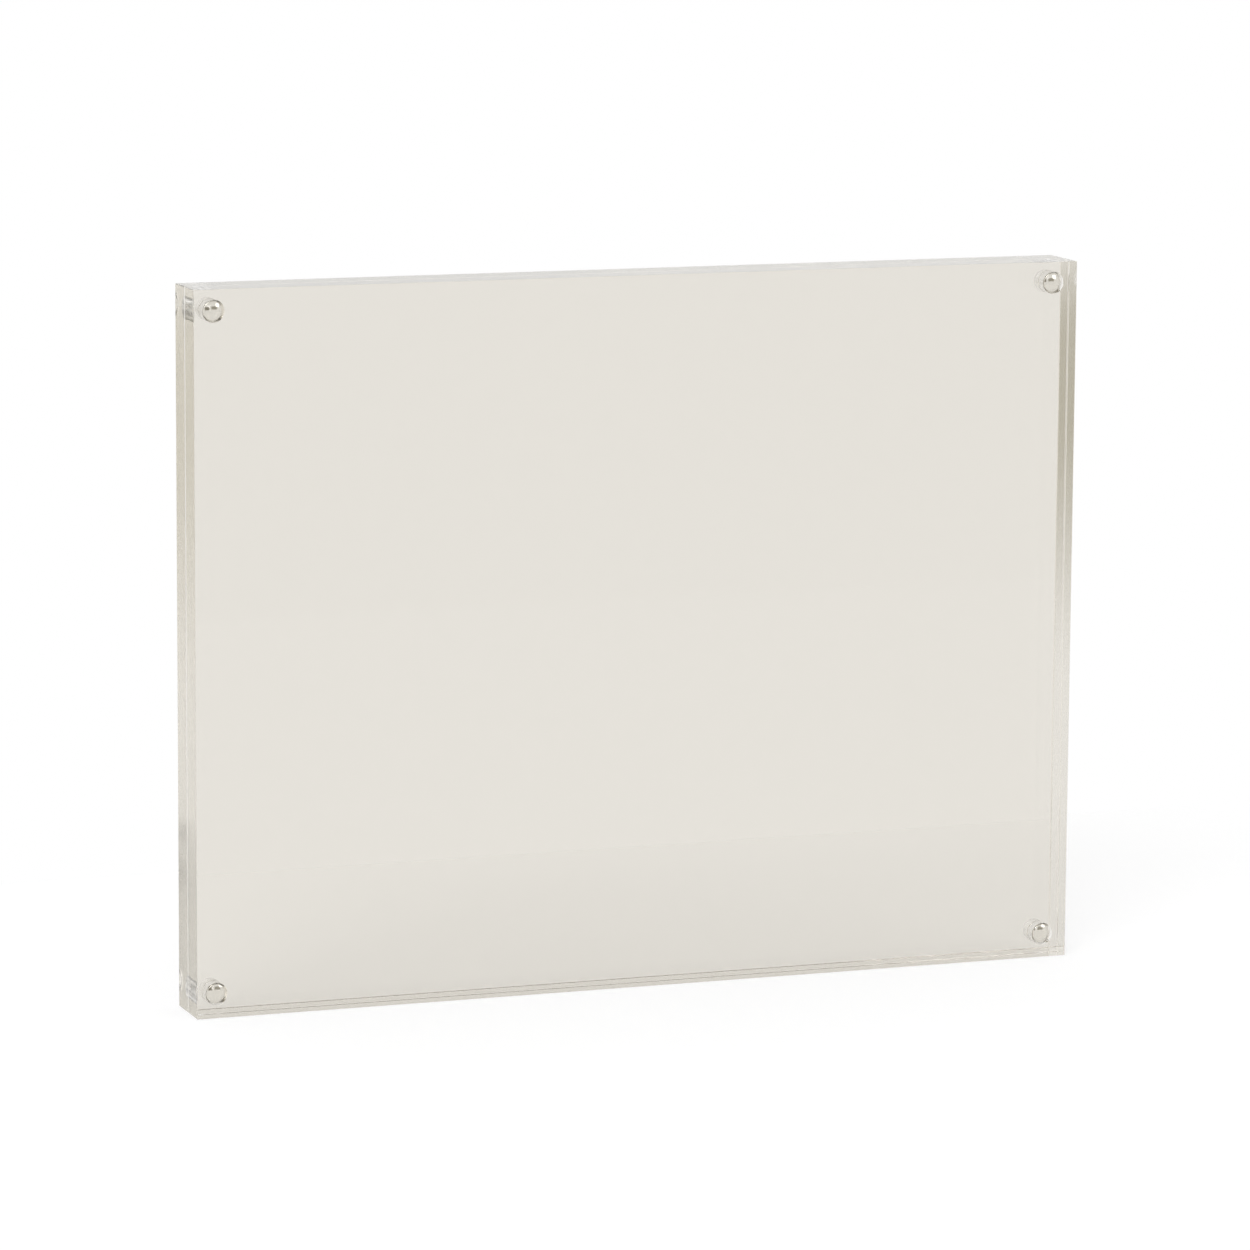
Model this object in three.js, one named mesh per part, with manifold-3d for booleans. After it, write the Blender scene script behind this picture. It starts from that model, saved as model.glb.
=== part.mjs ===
// Magnetic sign holder: two clear acrylic panels that clasp a letter-size sheet between them.
// Four disc magnets in each panel face their partners across the sheet and hold the panels together.
// Millimetres. +X is along the long edge, -Y is the front, +Z is up, and the holder stands on Z = 0.
import * as THREE from "three";
import { mergeVertices } from "three/addons/utils/BufferGeometryUtils.js";
import Module from "manifold-3d";

// Panels
const PANEL_WIDTH = 279.4; // the long side of a letter-size sheet
const PANEL_HEIGHT = 215.9; // the short side of the sheet
const PANEL_THICKNESS = 9.525;
const EDGE_BREAK = 0.4; // small polished bevel along the edges of both faces
const SHEET_GAP = 0.3; // room for the sheet between the panels

// Magnets and the blind pockets that hold them
const MAGNET_DIAMETER = 6.35;
const MAGNET_THICKNESS = 4.7625;
const MAGNET_CHAMFER = 0.25;
const MAGNET_INSET = 6.7; // from the panel's edges to the magnet's centre
const MAGNET_RECESS = 0.3; // how far the magnet lies below the mating face
const POCKET_CLEARANCE = 0.2; // glue line all round the magnet and behind it
const DRILL_POINT_ANGLE = 118; // degrees, left by the drill at the pocket's blind end
const DRILL_OVERRUN = 0.5; // the cutting shape starts this far outside the mating face
const ROUND_SEGMENTS = 64;

// Finishes
const ACRYLIC = { color: 0xe6e3dc, roughness: 0.04, metalness: 0, transparent: true, opacity: 0.35 };
const NICKEL = { color: 0xc9c4ba, roughness: 0.22, metalness: 1 };

// Sizes that follow from the ones above
const MATING_FACE = SHEET_GAP / 2; // from the middle plane to a mating face
const MAGNET_RADIUS = MAGNET_DIAMETER / 2;
const POCKET_RADIUS = MAGNET_RADIUS + POCKET_CLEARANCE;
const MAGNET_BACK = MAGNET_RECESS + MAGNET_THICKNESS;
const POCKET_DEPTH = MAGNET_BACK + POCKET_CLEARANCE;
const DRILL_POINT = POCKET_RADIUS / Math.tan(THREE.MathUtils.degToRad(DRILL_POINT_ANGLE / 2));
const MAGNET_X = PANEL_WIDTH / 2 - MAGNET_INSET;
const MAGNET_UPPER_Z = PANEL_HEIGHT - MAGNET_INSET;

// Magnet places seen from the front, as name, x and z
const magnetPlaces = [
  ["upper_left", -MAGNET_X, MAGNET_UPPER_Z],
  ["upper_right", MAGNET_X, MAGNET_UPPER_Z],
  ["lower_left", -MAGNET_X, MAGNET_INSET],
  ["lower_right", MAGNET_X, MAGNET_INSET],
];

// The two halves and the way each one's body lies from the sheet along Y
const halves = [
  ["rear", 1],
  ["front", -1],
];

const wasm = await Module();
wasm.setup();

// A geometry as a solid that can be cut
function solidOf(geometry) {
  const bare = geometry.clone().deleteAttribute("normal").deleteAttribute("uv");
  const merged = mergeVertices(bare, 1e-4);
  return new wasm.Manifold(
    new wasm.Mesh({
      numProp: 3,
      vertProperties: new Float32Array(merged.attributes.position.array),
      triVerts: new Uint32Array(merged.index.array),
    }),
  );
}

// A cut solid as a geometry again
function geometryOf(solid) {
  const { vertProperties, triVerts } = solid.getMesh();
  const indexed = new THREE.BufferGeometry();
  indexed.setAttribute("position", new THREE.BufferAttribute(vertProperties, 3));
  indexed.setIndex(new THREE.BufferAttribute(triVerts, 1));
  const geometry = indexed.toNonIndexed();
  geometry.computeVertexNormals();
  return geometry;
}

// A turned shape that starts at a mating face and runs into that half's panel
function turned(profile, towards) {
  const points = profile.map(([radius, depth]) => new THREE.Vector2(radius, depth));
  const geometry = new THREE.LatheGeometry(points, ROUND_SEGMENTS);
  return towards < 0 ? geometry.rotateX(Math.PI) : geometry;
}

// Panel blank with its edges broken
function panelBlank(towards) {
  const halfWidth = PANEL_WIDTH / 2 - EDGE_BREAK;
  const halfHeight = PANEL_HEIGHT / 2 - EDGE_BREAK;
  const outline = new THREE.Shape()
    .moveTo(-halfWidth, -halfHeight)
    .lineTo(halfWidth, -halfHeight)
    .lineTo(halfWidth, halfHeight)
    .lineTo(-halfWidth, halfHeight)
    .closePath();
  const depth = PANEL_THICKNESS - 2 * EDGE_BREAK;
  return new THREE.ExtrudeGeometry(outline, {
    depth,
    bevelThickness: EDGE_BREAK,
    bevelSize: EDGE_BREAK,
    bevelSegments: 1,
  })
    .translate(0, 0, -depth / 2)
    .rotateX(Math.PI / 2)
    .translate(0, towards * (MATING_FACE + PANEL_THICKNESS / 2), PANEL_HEIGHT / 2);
}

// Panel with its four blind pockets, drilled from the mating face
function drilledPanel(towards) {
  const drill = turned(
    [
      [0, -DRILL_OVERRUN],
      [POCKET_RADIUS, -DRILL_OVERRUN],
      [POCKET_RADIUS, POCKET_DEPTH],
      [0, POCKET_DEPTH + DRILL_POINT],
    ],
    towards,
  );
  let panel = solidOf(panelBlank(towards));
  for (const [, x, z] of magnetPlaces) {
    const pocket = drill.clone().translate(x, towards * MATING_FACE, z);
    panel = panel.subtract(solidOf(pocket));
  }
  return geometryOf(panel);
}

// Disc magnet with chamfered rims
function discMagnet(towards) {
  const faceRadius = MAGNET_RADIUS - MAGNET_CHAMFER;
  return turned(
    [
      [0, MAGNET_RECESS],
      [faceRadius, MAGNET_RECESS],
      [MAGNET_RADIUS, MAGNET_RECESS + MAGNET_CHAMFER],
      [MAGNET_RADIUS, MAGNET_BACK - MAGNET_CHAMFER],
      [faceRadius, MAGNET_BACK],
      [0, MAGNET_BACK],
    ],
    towards,
  );
}

function piece(name, geometry, finish) {
  const mesh = new THREE.Mesh(geometry, new THREE.MeshStandardMaterial(finish));
  mesh.name = name;
  return mesh;
}

const signHolder = new THREE.Group();
for (const [side, towards] of halves) {
  signHolder.add(piece(`${side}_panel`, drilledPanel(towards), ACRYLIC));
  for (const [place, x, z] of magnetPlaces) {
    const magnet = discMagnet(towards).translate(x, towards * MATING_FACE, z);
    signHolder.add(piece(`${side}_magnet_${place}`, magnet, NICKEL));
  }
}

export default signHolder;
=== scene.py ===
"""Looks of a magnetic sign holder: two clear acrylic panels with nickel-plated magnets in drilled pockets.
All lengths are in metres. +X is along the long edge, -Y is the front, +Z is up."""
import math

import bmesh
import bpy
from mathutils import Matrix, Vector


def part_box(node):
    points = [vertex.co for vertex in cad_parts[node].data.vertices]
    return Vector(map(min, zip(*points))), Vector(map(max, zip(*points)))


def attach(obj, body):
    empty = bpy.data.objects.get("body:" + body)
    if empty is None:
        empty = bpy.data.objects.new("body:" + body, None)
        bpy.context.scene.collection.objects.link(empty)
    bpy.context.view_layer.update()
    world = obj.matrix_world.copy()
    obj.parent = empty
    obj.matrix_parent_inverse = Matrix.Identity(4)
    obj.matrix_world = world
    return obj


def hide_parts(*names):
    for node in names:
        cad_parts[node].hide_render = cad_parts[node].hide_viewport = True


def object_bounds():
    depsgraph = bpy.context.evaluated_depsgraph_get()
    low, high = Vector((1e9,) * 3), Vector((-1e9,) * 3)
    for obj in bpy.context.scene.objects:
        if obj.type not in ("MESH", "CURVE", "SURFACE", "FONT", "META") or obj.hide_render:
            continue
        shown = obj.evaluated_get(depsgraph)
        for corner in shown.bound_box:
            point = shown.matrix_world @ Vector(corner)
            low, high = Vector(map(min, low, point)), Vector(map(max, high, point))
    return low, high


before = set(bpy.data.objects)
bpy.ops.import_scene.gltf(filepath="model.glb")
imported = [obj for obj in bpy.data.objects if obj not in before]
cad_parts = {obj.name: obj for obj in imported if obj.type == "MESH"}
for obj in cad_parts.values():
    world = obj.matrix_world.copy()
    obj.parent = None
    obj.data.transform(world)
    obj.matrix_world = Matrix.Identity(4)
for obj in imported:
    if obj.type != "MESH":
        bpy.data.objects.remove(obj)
cad_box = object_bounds()

# The holder's fine sizes, beside those that the frame gives
MM = 0.001
EDGE_ROUND = 0.25 * MM
EDGE_SEGMENTS = 4
EDGE_PROFILE = 0.5
POCKET_CLEARANCE = 0.2 * MM
DRILL_OVERRUN = 0.5 * MM
DRILL_HALF_ANGLE = math.radians(59)
RIM_ROUND = 0.25 * MM
RIM_SEGMENTS = 5
ROUND_SEGMENTS = 96
SHARP_ANGLE = math.radians(40)
FLAT_FACE_WEIGHT = 100

# The magnets' places in a half, and the way along Y from the sheet into each half
PLACES = ("upper_left", "upper_right", "lower_left", "lower_right")
HALVES = {"rear": 1, "front": -1}

# Camera, in the photograph's frame, with the sensor in millimetres
PHOTO_WIDTH = 1250
FOCAL_PIXELS = 6180.4
SENSOR_WIDTH = 36
CAMERA_AZIMUTH = math.radians(20.239)
CAMERA_ELEVATION = math.radians(9.306)
CAMERA_ROLL = math.radians(0.362)
CAMERA_DISTANCE = 1.8477
AIM_RIGHT = -6.26 * MM
AIM_ABOVE_MIDDLE = 3.12 * MM

# The shader's name, and the places of a mix node's colour sockets, which share their names with others
SHADER = "Principled BSDF"
MIX_COLOUR_A = 6
MIX_COLOUR_B = 7
MIX_COLOUR_RESULT = 2

# Acrylic: the tint of its surfaces and its depth
ACRYLIC_TINT = (0.882, 0.866, 0.834, 1)
ACRYLIC_IOR = 1.49
ACRYLIC_DEPTH_COLOUR = (0.83, 0.75, 0.56, 1)
ACRYLIC_DENSITY = 1.3

# Rub marks, waviness and polishing lines on the acrylic
RUB_SCALE = 900
RUB_DETAIL = 4
RUB_BREAKUP = 0.6
RUB_RANGE = (0.45, 0.75)
RUB_ROUGHNESS = 0.03
WAVE_SCALE = 14
WAVE_DETAIL = 1
WAVE_STRENGTH = 0.05
WAVE_DEPTH = 0.2 * MM
EDGE_LINE_SCALE = (5, 1100, 5)
EDGE_LINE_DETAIL = 3
EDGE_LINE_STRENGTH = 0.2
EDGE_LINE_DEPTH = 0.02 * MM

# Satin finish of the acrylic's outer edges and of the drilled walls, which lie further in
SIDE_NORMAL_RANGE = (0.4, 0.6)
EDGE_REACH = 1 * MM
EDGE_ROUGHNESS = 0.12
DRILLED_ROUGHNESS = 0.28

# Nickel plate and its grain
NICKEL_COLOUR = (0.95, 0.94, 0.91, 1)
NICKEL_SHADE = 0.86
NICKEL_ROUGHNESS = (0.04, 0.1)
GRAIN_SCALE = 2500
GRAIN_DETAIL = 5
GRAIN_BREAKUP = 0.65
GRAIN_STRENGTH = 0.15
GRAIN_DEPTH = 0.02 * MM

# Light bounces, enough to follow a ray along the whole length of a panel
LIGHT_BOUNCES = 64

# Table and world
WHITE = (1, 1, 1, 1)
TABLE_WIDTH = 1.3
TABLE_FRONT = -0.7
TABLE_BACK = 0.2
TABLE_GAP = 0.1 * MM
TABLE_COLOUR = (0.35, 0.35, 0.35, 1)
TABLE_GLOW = 0.733
WORLD_FILL = 0.65

# Cards that stand or hang round the holder, each scaled from a unit square
UNIT_CARD_REACH = 0.5
FLAG_AZIMUTH = -CAMERA_AZIMUTH
FLAG_DISTANCE = 2.5
FLAG_WIDTH = 0.56
FLAG_HEIGHT = 0.27
FLAG_TOP = -0.06
FLAG_FADE = (-0.5, 0.05)
FLAG_COLOUR = (0.66, 0.62, 0.48, 1)
BOOM_HEIGHT = 2.3
BOOM_SIZE = 2.6
BOOM_COLOUR = (0.3, 0.27, 0.2, 1)
SCREEN_AZIMUTH = math.radians(191)
SCREEN_DISTANCE = 2.3
SCREEN_WIDTH = 0.7
SCREEN_HEIGHT = 0.5
SCREEN_FOOT = 0.11
SCREEN_COLOUR = (0.28, 0.25, 0.17, 1)

# Walls, each with its azimuth, colour and cover
WALLS = {
    "far_wall": (CAMERA_AZIMUTH, (0.97, 0.95, 0.88, 1), 0.35),
    "near_wall": (math.pi - CAMERA_AZIMUTH, (0.45, 0.42, 0.34, 1), 1),
}
WALL_DISTANCE = 2.5
WALL_WIDTH = 1.2
WALL_HEIGHT = 0.6
WALL_FOOT = 0.2

# Lamps, with their powers in watts
KEY_PLACE = (-1.2, -1.6, 2.0)
KEY_SIZE = 1.2
KEY_POWER = 22
FILL_PLACE = (1.35, -1.9, 0.95)
FILL_SIZE = 0.7
FILL_POWER = 2


def new_object(name, bm):
    """A mesh object made from a bmesh, which is freed."""
    mesh = bpy.data.meshes.new(name)
    bm.to_mesh(mesh)
    bm.free()
    piece = bpy.data.objects.new(name, mesh)
    bpy.context.scene.collection.objects.link(piece)
    return piece


def turned(profile, centre, towards):
    """A closed turned form whose (radius, depth) points run from axis to axis.
    The depth is measured from the centre along towards * Y."""
    bm = bmesh.new()
    rings = []
    for radius, depth in profile:
        spots = 1 if radius == 0 else ROUND_SEGMENTS
        ring = []
        for k in range(spots):
            turn = 2 * math.pi * k / ROUND_SEGMENTS
            offset = Vector((radius * math.cos(turn), towards * depth, radius * math.sin(turn)))
            ring.append(bm.verts.new(centre + offset))
        rings.append(ring)
    for low, high in zip(rings, rings[1:]):
        for k in range(ROUND_SEGMENTS):
            n = (k + 1) % ROUND_SEGMENTS
            corners = [low[k % len(low)], low[n % len(low)], high[n % len(high)], high[k % len(high)]]
            bm.faces.new(list(dict.fromkeys(corners)))
    bmesh.ops.recalc_face_normals(bm, faces=bm.faces)
    return bm


def apply_modifiers(piece):
    """Replaces the piece's mesh by what its modifiers make of it."""
    evaluated = piece.evaluated_get(bpy.context.evaluated_depsgraph_get())
    mesh = bpy.data.meshes.new_from_object(evaluated)
    piece.modifiers.clear()
    piece.data = mesh


def smooth(piece):
    """Round surfaces shade smoothly and flat faces stay flat."""
    for polygon in piece.data.polygons:
        polygon.use_smooth = True
    piece.data.set_sharp_from_angle(angle=SHARP_ANGLE)
    weighted = piece.modifiers.new("flat_faces", "WEIGHTED_NORMAL")
    weighted.keep_sharp = True
    weighted.weight = FLAT_FACE_WEIGHT
    apply_modifiers(piece)


def magnet_seat(side, place):
    """A magnet's centre on its mating plane, its radius, and the depths of its two faces."""
    towards = HALVES[side]
    low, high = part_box(f"{side}_magnet_{place}")
    panel_low, panel_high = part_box(f"{side}_panel")
    mating = panel_low.y if towards > 0 else panel_high.y
    centre = Vector(((low.x + high.x) / 2, mating, (low.z + high.z) / 2))
    near, back = sorted((abs(low.y - mating), abs(high.y - mating)))
    return centre, (high.x - low.x) / 2, near, back


def make_panel(side):
    """A slab with rounded edges and four drilled pockets."""
    low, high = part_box(f"{side}_panel")
    bm = bmesh.new()
    bmesh.ops.create_cube(bm, size=1)
    for vertex in bm.verts:
        vertex.co = (low + high) / 2 + vertex.co * (high - low)
    bmesh.ops.bevel(
        bm,
        geom=bm.edges[:],
        offset=EDGE_ROUND,
        segments=EDGE_SEGMENTS,
        profile=EDGE_PROFILE,
        affect="EDGES",
    )
    panel = new_object(f"{side}_clear_panel", bm)
    for place in PLACES:
        centre, radius, _, back = magnet_seat(side, place)
        wall = radius + POCKET_CLEARANCE
        depth = back + POCKET_CLEARANCE
        profile = [
            (0, -DRILL_OVERRUN),
            (wall, -DRILL_OVERRUN),
            (wall, depth),
            (0, depth + wall / math.tan(DRILL_HALF_ANGLE)),
        ]
        drill = new_object("drill", turned(profile, centre, HALVES[side]))
        cut = panel.modifiers.new("pocket", "BOOLEAN")
        cut.object = drill
        cut.operation = "DIFFERENCE"
        cut.solver = "EXACT"
        apply_modifiers(panel)
        bpy.data.objects.remove(drill)
    smooth(panel)
    return panel


def make_magnet(side, place):
    """A disc magnet with rounded rims."""
    centre, radius, near, back = magnet_seat(side, place)
    turns = [math.pi / 2 * k / RIM_SEGMENTS for k in range(RIM_SEGMENTS + 1)]
    inner = radius - RIM_ROUND
    near_rim = [
        (inner + RIM_ROUND * math.sin(turn), near + RIM_ROUND * (1 - math.cos(turn))) for turn in turns
    ]
    back_rim = [(r, near + back - depth) for r, depth in reversed(near_rim)]
    profile = [(0, near), *near_rim, *back_rim, (0, back)]
    magnet = new_object(f"{side}_plated_magnet_{place}", turned(profile, centre, HALVES[side]))
    smooth(magnet)
    return magnet


def new_material(name):
    """A material with its node tree and its shader."""
    material = bpy.data.materials.new(name)
    material.use_nodes = True
    tree = material.node_tree
    return material, tree, tree.nodes[SHADER]


def add_node(tree, kind, **values):
    """A new node, with values for its sockets and settings."""
    node = tree.nodes.new(kind)
    for key, value in values.items():
        if key in node.inputs:
            node.inputs[key].default_value = value
        else:
            setattr(node, key, value)
    return node


def compute(tree, operation, *sources):
    """A socket with the result of a calculation on other sockets."""
    node = add_node(tree, "ShaderNodeMath", operation=operation)
    for source, target in zip(sources, node.inputs):
        tree.links.new(source, target)
    return node.outputs["Value"]


def map_range(tree, source, given, wanted):
    """A socket that takes the source from the given pair of limits to the wanted pair."""
    node = add_node(tree, "ShaderNodeMapRange")
    node.inputs["From Min"].default_value = given[0]
    node.inputs["From Max"].default_value = given[1]
    node.inputs["To Min"].default_value = wanted[0]
    node.inputs["To Max"].default_value = wanted[1]
    tree.links.new(source, node.inputs["Value"])
    return node.outputs["Result"]


def noise(tree, place, **values):
    """A socket with noise over a place."""
    node = add_node(tree, "ShaderNodeTexNoise", **values)
    tree.links.new(place, node.inputs["Vector"])
    return node.outputs["Fac"]


def add_bump(tree, height, strength, depth):
    """A bump node that raises the surface by a height."""
    node = add_node(tree, "ShaderNodeBump", Strength=strength, Distance=depth)
    tree.links.new(height, node.inputs["Height"])
    return node


def edge_distance(tree, place):
    """A socket with the distance of a place from the nearest side of the outline seen from the front."""
    low, high = cad_box
    offset = add_node(tree, "ShaderNodeVectorMath", operation="SUBTRACT")
    tree.links.new(place, offset.inputs[0])
    offset.inputs[1].default_value = (low + high) / 2
    reach = add_node(tree, "ShaderNodeVectorMath", operation="ABSOLUTE")
    tree.links.new(offset.outputs["Vector"], reach.inputs[0])
    inset = add_node(tree, "ShaderNodeVectorMath", operation="SUBTRACT")
    inset.inputs[0].default_value = (high - low) / 2
    tree.links.new(reach.outputs["Vector"], inset.inputs[1])
    split = add_node(tree, "ShaderNodeSeparateXYZ")
    tree.links.new(inset.outputs["Vector"], split.inputs["Vector"])
    return compute(tree, "MINIMUM", split.outputs["X"], split.outputs["Z"])


def side_finish(tree, coordinates):
    """Extra roughness: none on the faces, a little on the outer edges, and more on the drilled walls."""
    facing = add_node(tree, "ShaderNodeSeparateXYZ")
    tree.links.new(coordinates.outputs["Normal"], facing.inputs["Vector"])
    across = compute(tree, "ABSOLUTE", facing.outputs["Y"])
    sideways = map_range(tree, across, SIDE_NORMAL_RANGE, (1, 0))
    distance = edge_distance(tree, coordinates.outputs["Object"])
    reach = (EDGE_REACH, 2 * EDGE_REACH)
    finish = map_range(tree, distance, reach, (EDGE_ROUGHNESS, DRILLED_ROUGHNESS))
    return compute(tree, "MULTIPLY", sideways, finish)


def acrylic_material():
    """Clear cast acrylic: slightly warm, with faint waviness, rub marks, polishing lines and satin edges."""
    material, tree, shader = new_material("clear_acrylic")
    link = tree.links.new
    shader.inputs["Base Color"].default_value = ACRYLIC_TINT
    shader.inputs["Transmission Weight"].default_value = 1
    shader.inputs["IOR"].default_value = ACRYLIC_IOR
    coordinates = add_node(tree, "ShaderNodeTexCoord")
    place = coordinates.outputs["Object"]
    rub = noise(tree, place, Scale=RUB_SCALE, Detail=RUB_DETAIL, Roughness=RUB_BREAKUP)
    polish = map_range(tree, rub, RUB_RANGE, (0, RUB_ROUGHNESS))
    link(compute(tree, "ADD", polish, side_finish(tree, coordinates)), shader.inputs["Roughness"])
    wave = noise(tree, place, Scale=WAVE_SCALE, Detail=WAVE_DETAIL)
    faces = add_bump(tree, wave, WAVE_STRENGTH, WAVE_DEPTH)
    along = add_node(tree, "ShaderNodeMapping", Scale=EDGE_LINE_SCALE)
    link(place, along.inputs["Vector"])
    lines = noise(tree, along.outputs["Vector"], Scale=1, Detail=EDGE_LINE_DETAIL)
    edges = add_bump(tree, lines, EDGE_LINE_STRENGTH, EDGE_LINE_DEPTH)
    link(faces.outputs["Normal"], edges.inputs["Normal"])
    link(edges.outputs["Normal"], shader.inputs["Normal"])
    depth = add_node(
        tree, "ShaderNodeVolumeAbsorption", Color=ACRYLIC_DEPTH_COLOUR, Density=ACRYLIC_DENSITY
    )
    link(depth.outputs["Volume"], tree.nodes["Material Output"].inputs["Volume"])
    return material


def nickel_material():
    """Bright nickel plate with fine grinding marks and slight tone changes."""
    material, tree, shader = new_material("nickel_plate")
    link = tree.links.new
    shader.inputs["Metallic"].default_value = 1
    coordinates = add_node(tree, "ShaderNodeTexCoord")
    place = coordinates.outputs["Object"]
    grain = noise(tree, place, Scale=GRAIN_SCALE, Detail=GRAIN_DETAIL, Roughness=GRAIN_BREAKUP)
    tone = add_node(tree, "ShaderNodeMix", data_type="RGBA")
    tone.inputs[MIX_COLOUR_A].default_value = NICKEL_COLOUR
    tone.inputs[MIX_COLOUR_B].default_value = (*(NICKEL_SHADE * part for part in NICKEL_COLOUR[:3]), 1)
    link(grain, tone.inputs["Factor"])
    link(tone.outputs[MIX_COLOUR_RESULT], shader.inputs["Base Color"])
    link(map_range(tree, grain, (0, 1), NICKEL_ROUGHNESS), shader.inputs["Roughness"])
    bump = add_bump(tree, grain, GRAIN_STRENGTH, GRAIN_DEPTH)
    link(bump.outputs["Normal"], shader.inputs["Normal"])
    return material


def dress(piece, node, body, material):
    """The piece stands for a node, rides on its body and takes its material."""
    piece.data.materials.clear()
    piece.data.materials.append(material)
    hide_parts(node)
    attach(piece, body)


def make_holder():
    """Both halves, each a panel with its four magnets."""
    acrylic = acrylic_material()
    nickel = nickel_material()
    for side in HALVES:
        body = f"{side}_half"
        dress(make_panel(side), f"{side}_panel", body, acrylic)
        for place in PLACES:
            node = f"{side}_magnet_{place}"
            dress(make_magnet(side, place), node, body, nickel)


def seen_rays(tree):
    """A socket that is 1 for camera, glossy and transmission rays, and 0 for the rest."""
    path = add_node(tree, "ShaderNodeLightPath")
    total = path.outputs["Is Camera Ray"]
    for kind in ("Is Glossy Ray", "Is Transmission Ray"):
        total = compute(tree, "MAXIMUM", total, path.outputs[kind])
    return total


def make_world():
    """White wherever it is seen, and a soft even fill for the rest."""
    world = bpy.data.worlds.new("studio")
    bpy.context.scene.world = world
    world.use_nodes = True
    tree = world.node_tree
    background = tree.nodes["Background"]
    background.inputs["Color"].default_value = WHITE
    strength = map_range(tree, seen_rays(tree), (0, 1), (WORLD_FILL, 1))
    tree.links.new(strength, background.inputs["Strength"])


def matt_material(name, colour):
    """A plain matt material for the stage, with its node tree and its shader."""
    material, tree, shader = new_material(name)
    shader.inputs["Base Color"].default_value = colour
    shader.inputs["Roughness"].default_value = 1
    shader.inputs["Specular IOR Level"].default_value = 0
    return material, tree, shader


def make_card(name, width, depth):
    """A flat square-cornered card, level and centred on the origin."""
    bm = bmesh.new()
    bmesh.ops.create_grid(bm, size=UNIT_CARD_REACH)
    card = new_object(name, bm)
    card.scale = (width, depth, 1)
    return card


def make_table():
    """A pale table top that looks white and keeps the shadow."""
    table = make_card("table", TABLE_WIDTH, TABLE_BACK - TABLE_FRONT)
    table.location = (0, (TABLE_BACK + TABLE_FRONT) / 2, cad_box[0].z - TABLE_GAP)
    material, tree, shader = matt_material("pale_table", TABLE_COLOUR)
    glow = map_range(tree, seen_rays(tree), (0, 1), (0, TABLE_GLOW))
    shader.inputs["Emission Color"].default_value = WHITE
    tree.links.new(glow, shader.inputs["Emission Strength"])
    table.data.materials.append(material)


def make_upright(name, azimuth, distance, width, height, foot, colour):
    """An upright matt card that faces the holder, with the azimuth measured from +Y towards +X."""
    card = make_card(name, width, height)
    card.rotation_euler = (math.pi / 2, 0, -azimuth)
    card.location = (distance * math.sin(azimuth), distance * math.cos(azimuth), foot + height / 2)
    card.data.materials.append(matt_material(f"{name}_card", colour)[0])
    return card


def fade_down(material, clear, full):
    """The card fades out downwards, between two heights in its own unit square."""
    tree = material.node_tree
    coordinates = add_node(tree, "ShaderNodeTexCoord")
    split = add_node(tree, "ShaderNodeSeparateXYZ")
    tree.links.new(coordinates.outputs["Object"], split.inputs["Vector"])
    cover = map_range(tree, split.outputs["Y"], (clear, full), (0, 1))
    tree.links.new(cover, tree.nodes[SHADER].inputs["Alpha"])


def show_only(card, glossy=True):
    """The card is only seen in refractions, and in reflections too where glossy is on."""
    card.visible_camera = False
    card.visible_diffuse = False
    card.visible_shadow = False
    card.visible_glossy = glossy


def make_surroundings():
    """Cards well away from the holder, for its edges and magnets to show."""
    flag_foot = FLAG_TOP - FLAG_HEIGHT
    flag = make_upright(
        "flag", FLAG_AZIMUTH, FLAG_DISTANCE, FLAG_WIDTH, FLAG_HEIGHT, flag_foot, FLAG_COLOUR
    )
    fade_down(flag.data.materials[0], *FLAG_FADE)
    boom = make_card("boom", BOOM_SIZE, BOOM_SIZE)
    boom.location.z = BOOM_HEIGHT
    boom.data.materials.append(matt_material("boom_card", BOOM_COLOUR)[0])
    show_only(boom)
    screen = make_upright(
        "screen", SCREEN_AZIMUTH, SCREEN_DISTANCE, SCREEN_WIDTH, SCREEN_HEIGHT, SCREEN_FOOT, SCREEN_COLOUR
    )
    show_only(screen, glossy=False)
    for name, (azimuth, colour, cover) in WALLS.items():
        wall = make_upright(name, azimuth, WALL_DISTANCE, WALL_WIDTH, WALL_HEIGHT, WALL_FOOT, colour)
        wall.data.materials[0].node_tree.nodes[SHADER].inputs["Alpha"].default_value = cover
        show_only(wall, glossy=False)


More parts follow.
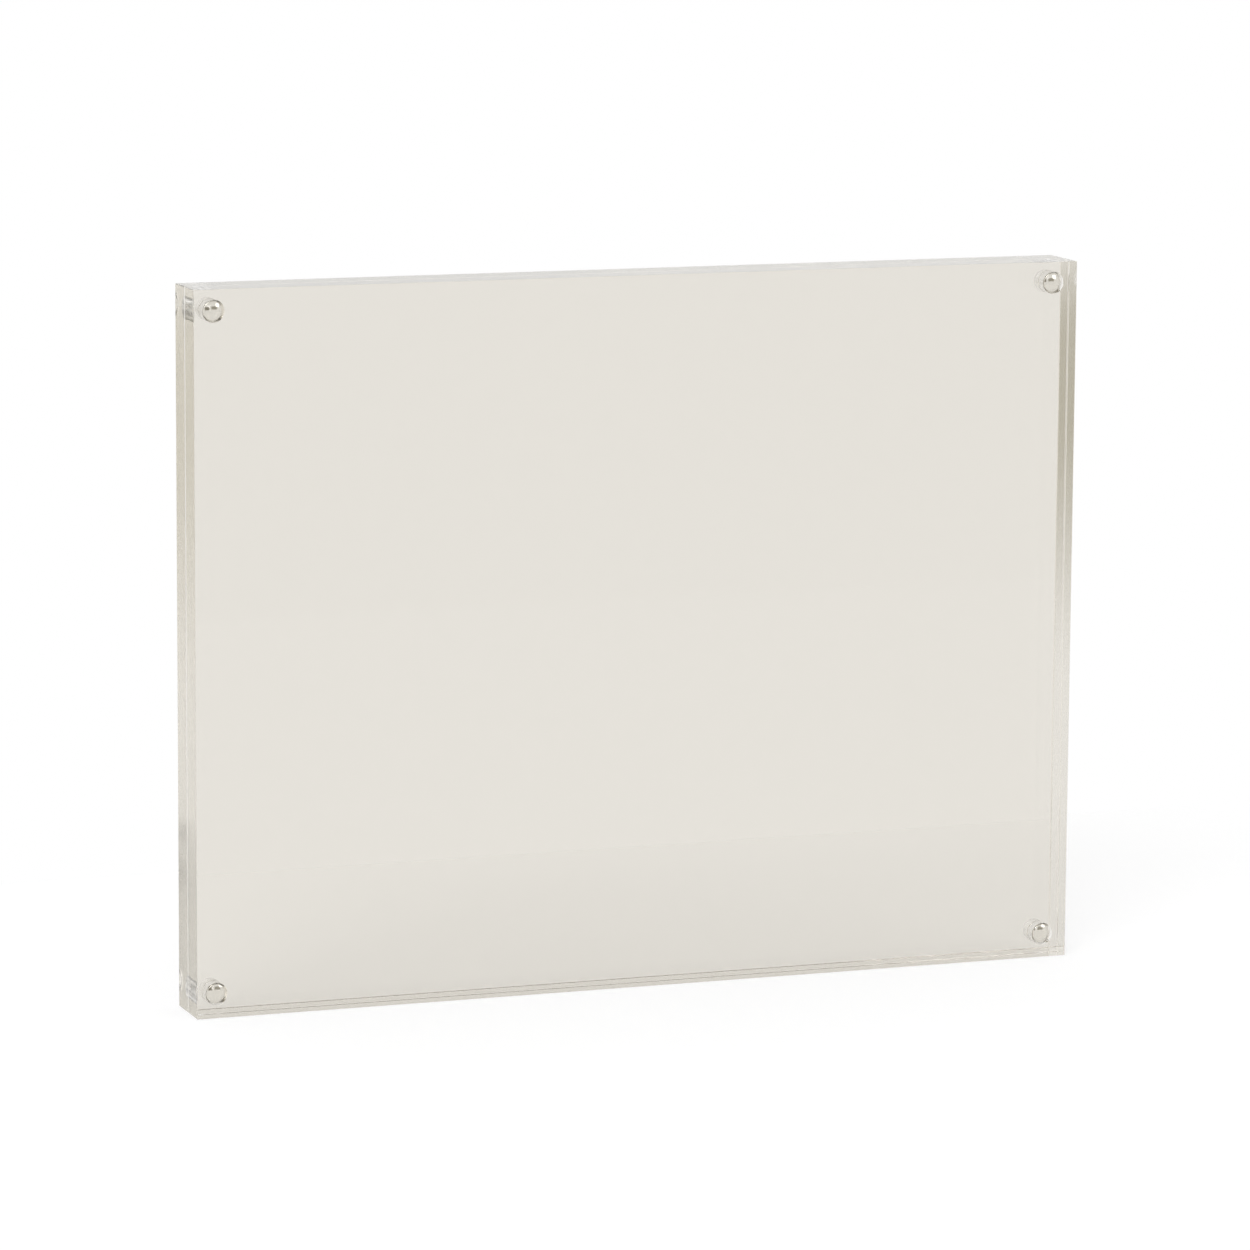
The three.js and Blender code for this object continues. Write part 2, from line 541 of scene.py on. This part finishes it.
def make_lamp(name, place, size, power):
    """A soft square lamp that faces the holder's middle."""
    middle = (cad_box[0] + cad_box[1]) / 2
    data = bpy.data.lights.new(name, "AREA")
    data.size = size
    data.energy = power
    lamp = bpy.data.objects.new(name, data)
    lamp.location = place
    lamp.rotation_mode = "QUATERNION"
    lamp.rotation_quaternion = (middle - Vector(place)).to_track_quat("-Z", "Y")
    bpy.context.scene.collection.objects.link(lamp)


def make_camera():
    """A long lens from the left and a little above, as in the photograph."""
    low, high = cad_box
    aim = Vector((AIM_RIGHT, low.y, (low.z + high.z) / 2 + AIM_ABOVE_MIDDLE))
    forward = Vector((
        math.sin(CAMERA_AZIMUTH) * math.cos(CAMERA_ELEVATION),
        math.cos(CAMERA_AZIMUTH) * math.cos(CAMERA_ELEVATION),
        -math.sin(CAMERA_ELEVATION),
    ))
    level = forward.cross(Vector((0, 0, 1))).normalized()
    upright = level.cross(forward)
    right = level * math.cos(CAMERA_ROLL) + upright * math.sin(CAMERA_ROLL)
    up = right.cross(forward)
    data = bpy.data.cameras.new("camera")
    data.sensor_fit = "HORIZONTAL"
    data.sensor_width = SENSOR_WIDTH
    data.lens = SENSOR_WIDTH * FOCAL_PIXELS / PHOTO_WIDTH
    camera = bpy.data.objects.new("camera", data)
    camera.matrix_world = Matrix.Translation(aim - forward * CAMERA_DISTANCE) @ Matrix((
        (right.x, up.x, -forward.x, 0),
        (right.y, up.y, -forward.y, 0),
        (right.z, up.z, -forward.z, 0),
        (0, 0, 0, 1),
    ))
    bpy.context.scene.collection.objects.link(camera)
    bpy.context.scene.camera = camera


make_camera()
make_holder()
make_world()
make_table()
make_surroundings()
make_lamp("key", KEY_PLACE, KEY_SIZE, KEY_POWER)
make_lamp("fill", FILL_PLACE, FILL_SIZE, FILL_POWER)
bpy.context.scene.view_settings.view_transform = "Standard"
bpy.context.scene.cycles.max_bounces = LIGHT_BOUNCES
bpy.context.scene.cycles.glossy_bounces = LIGHT_BOUNCES
bpy.context.scene.cycles.transmission_bounces = LIGHT_BOUNCES
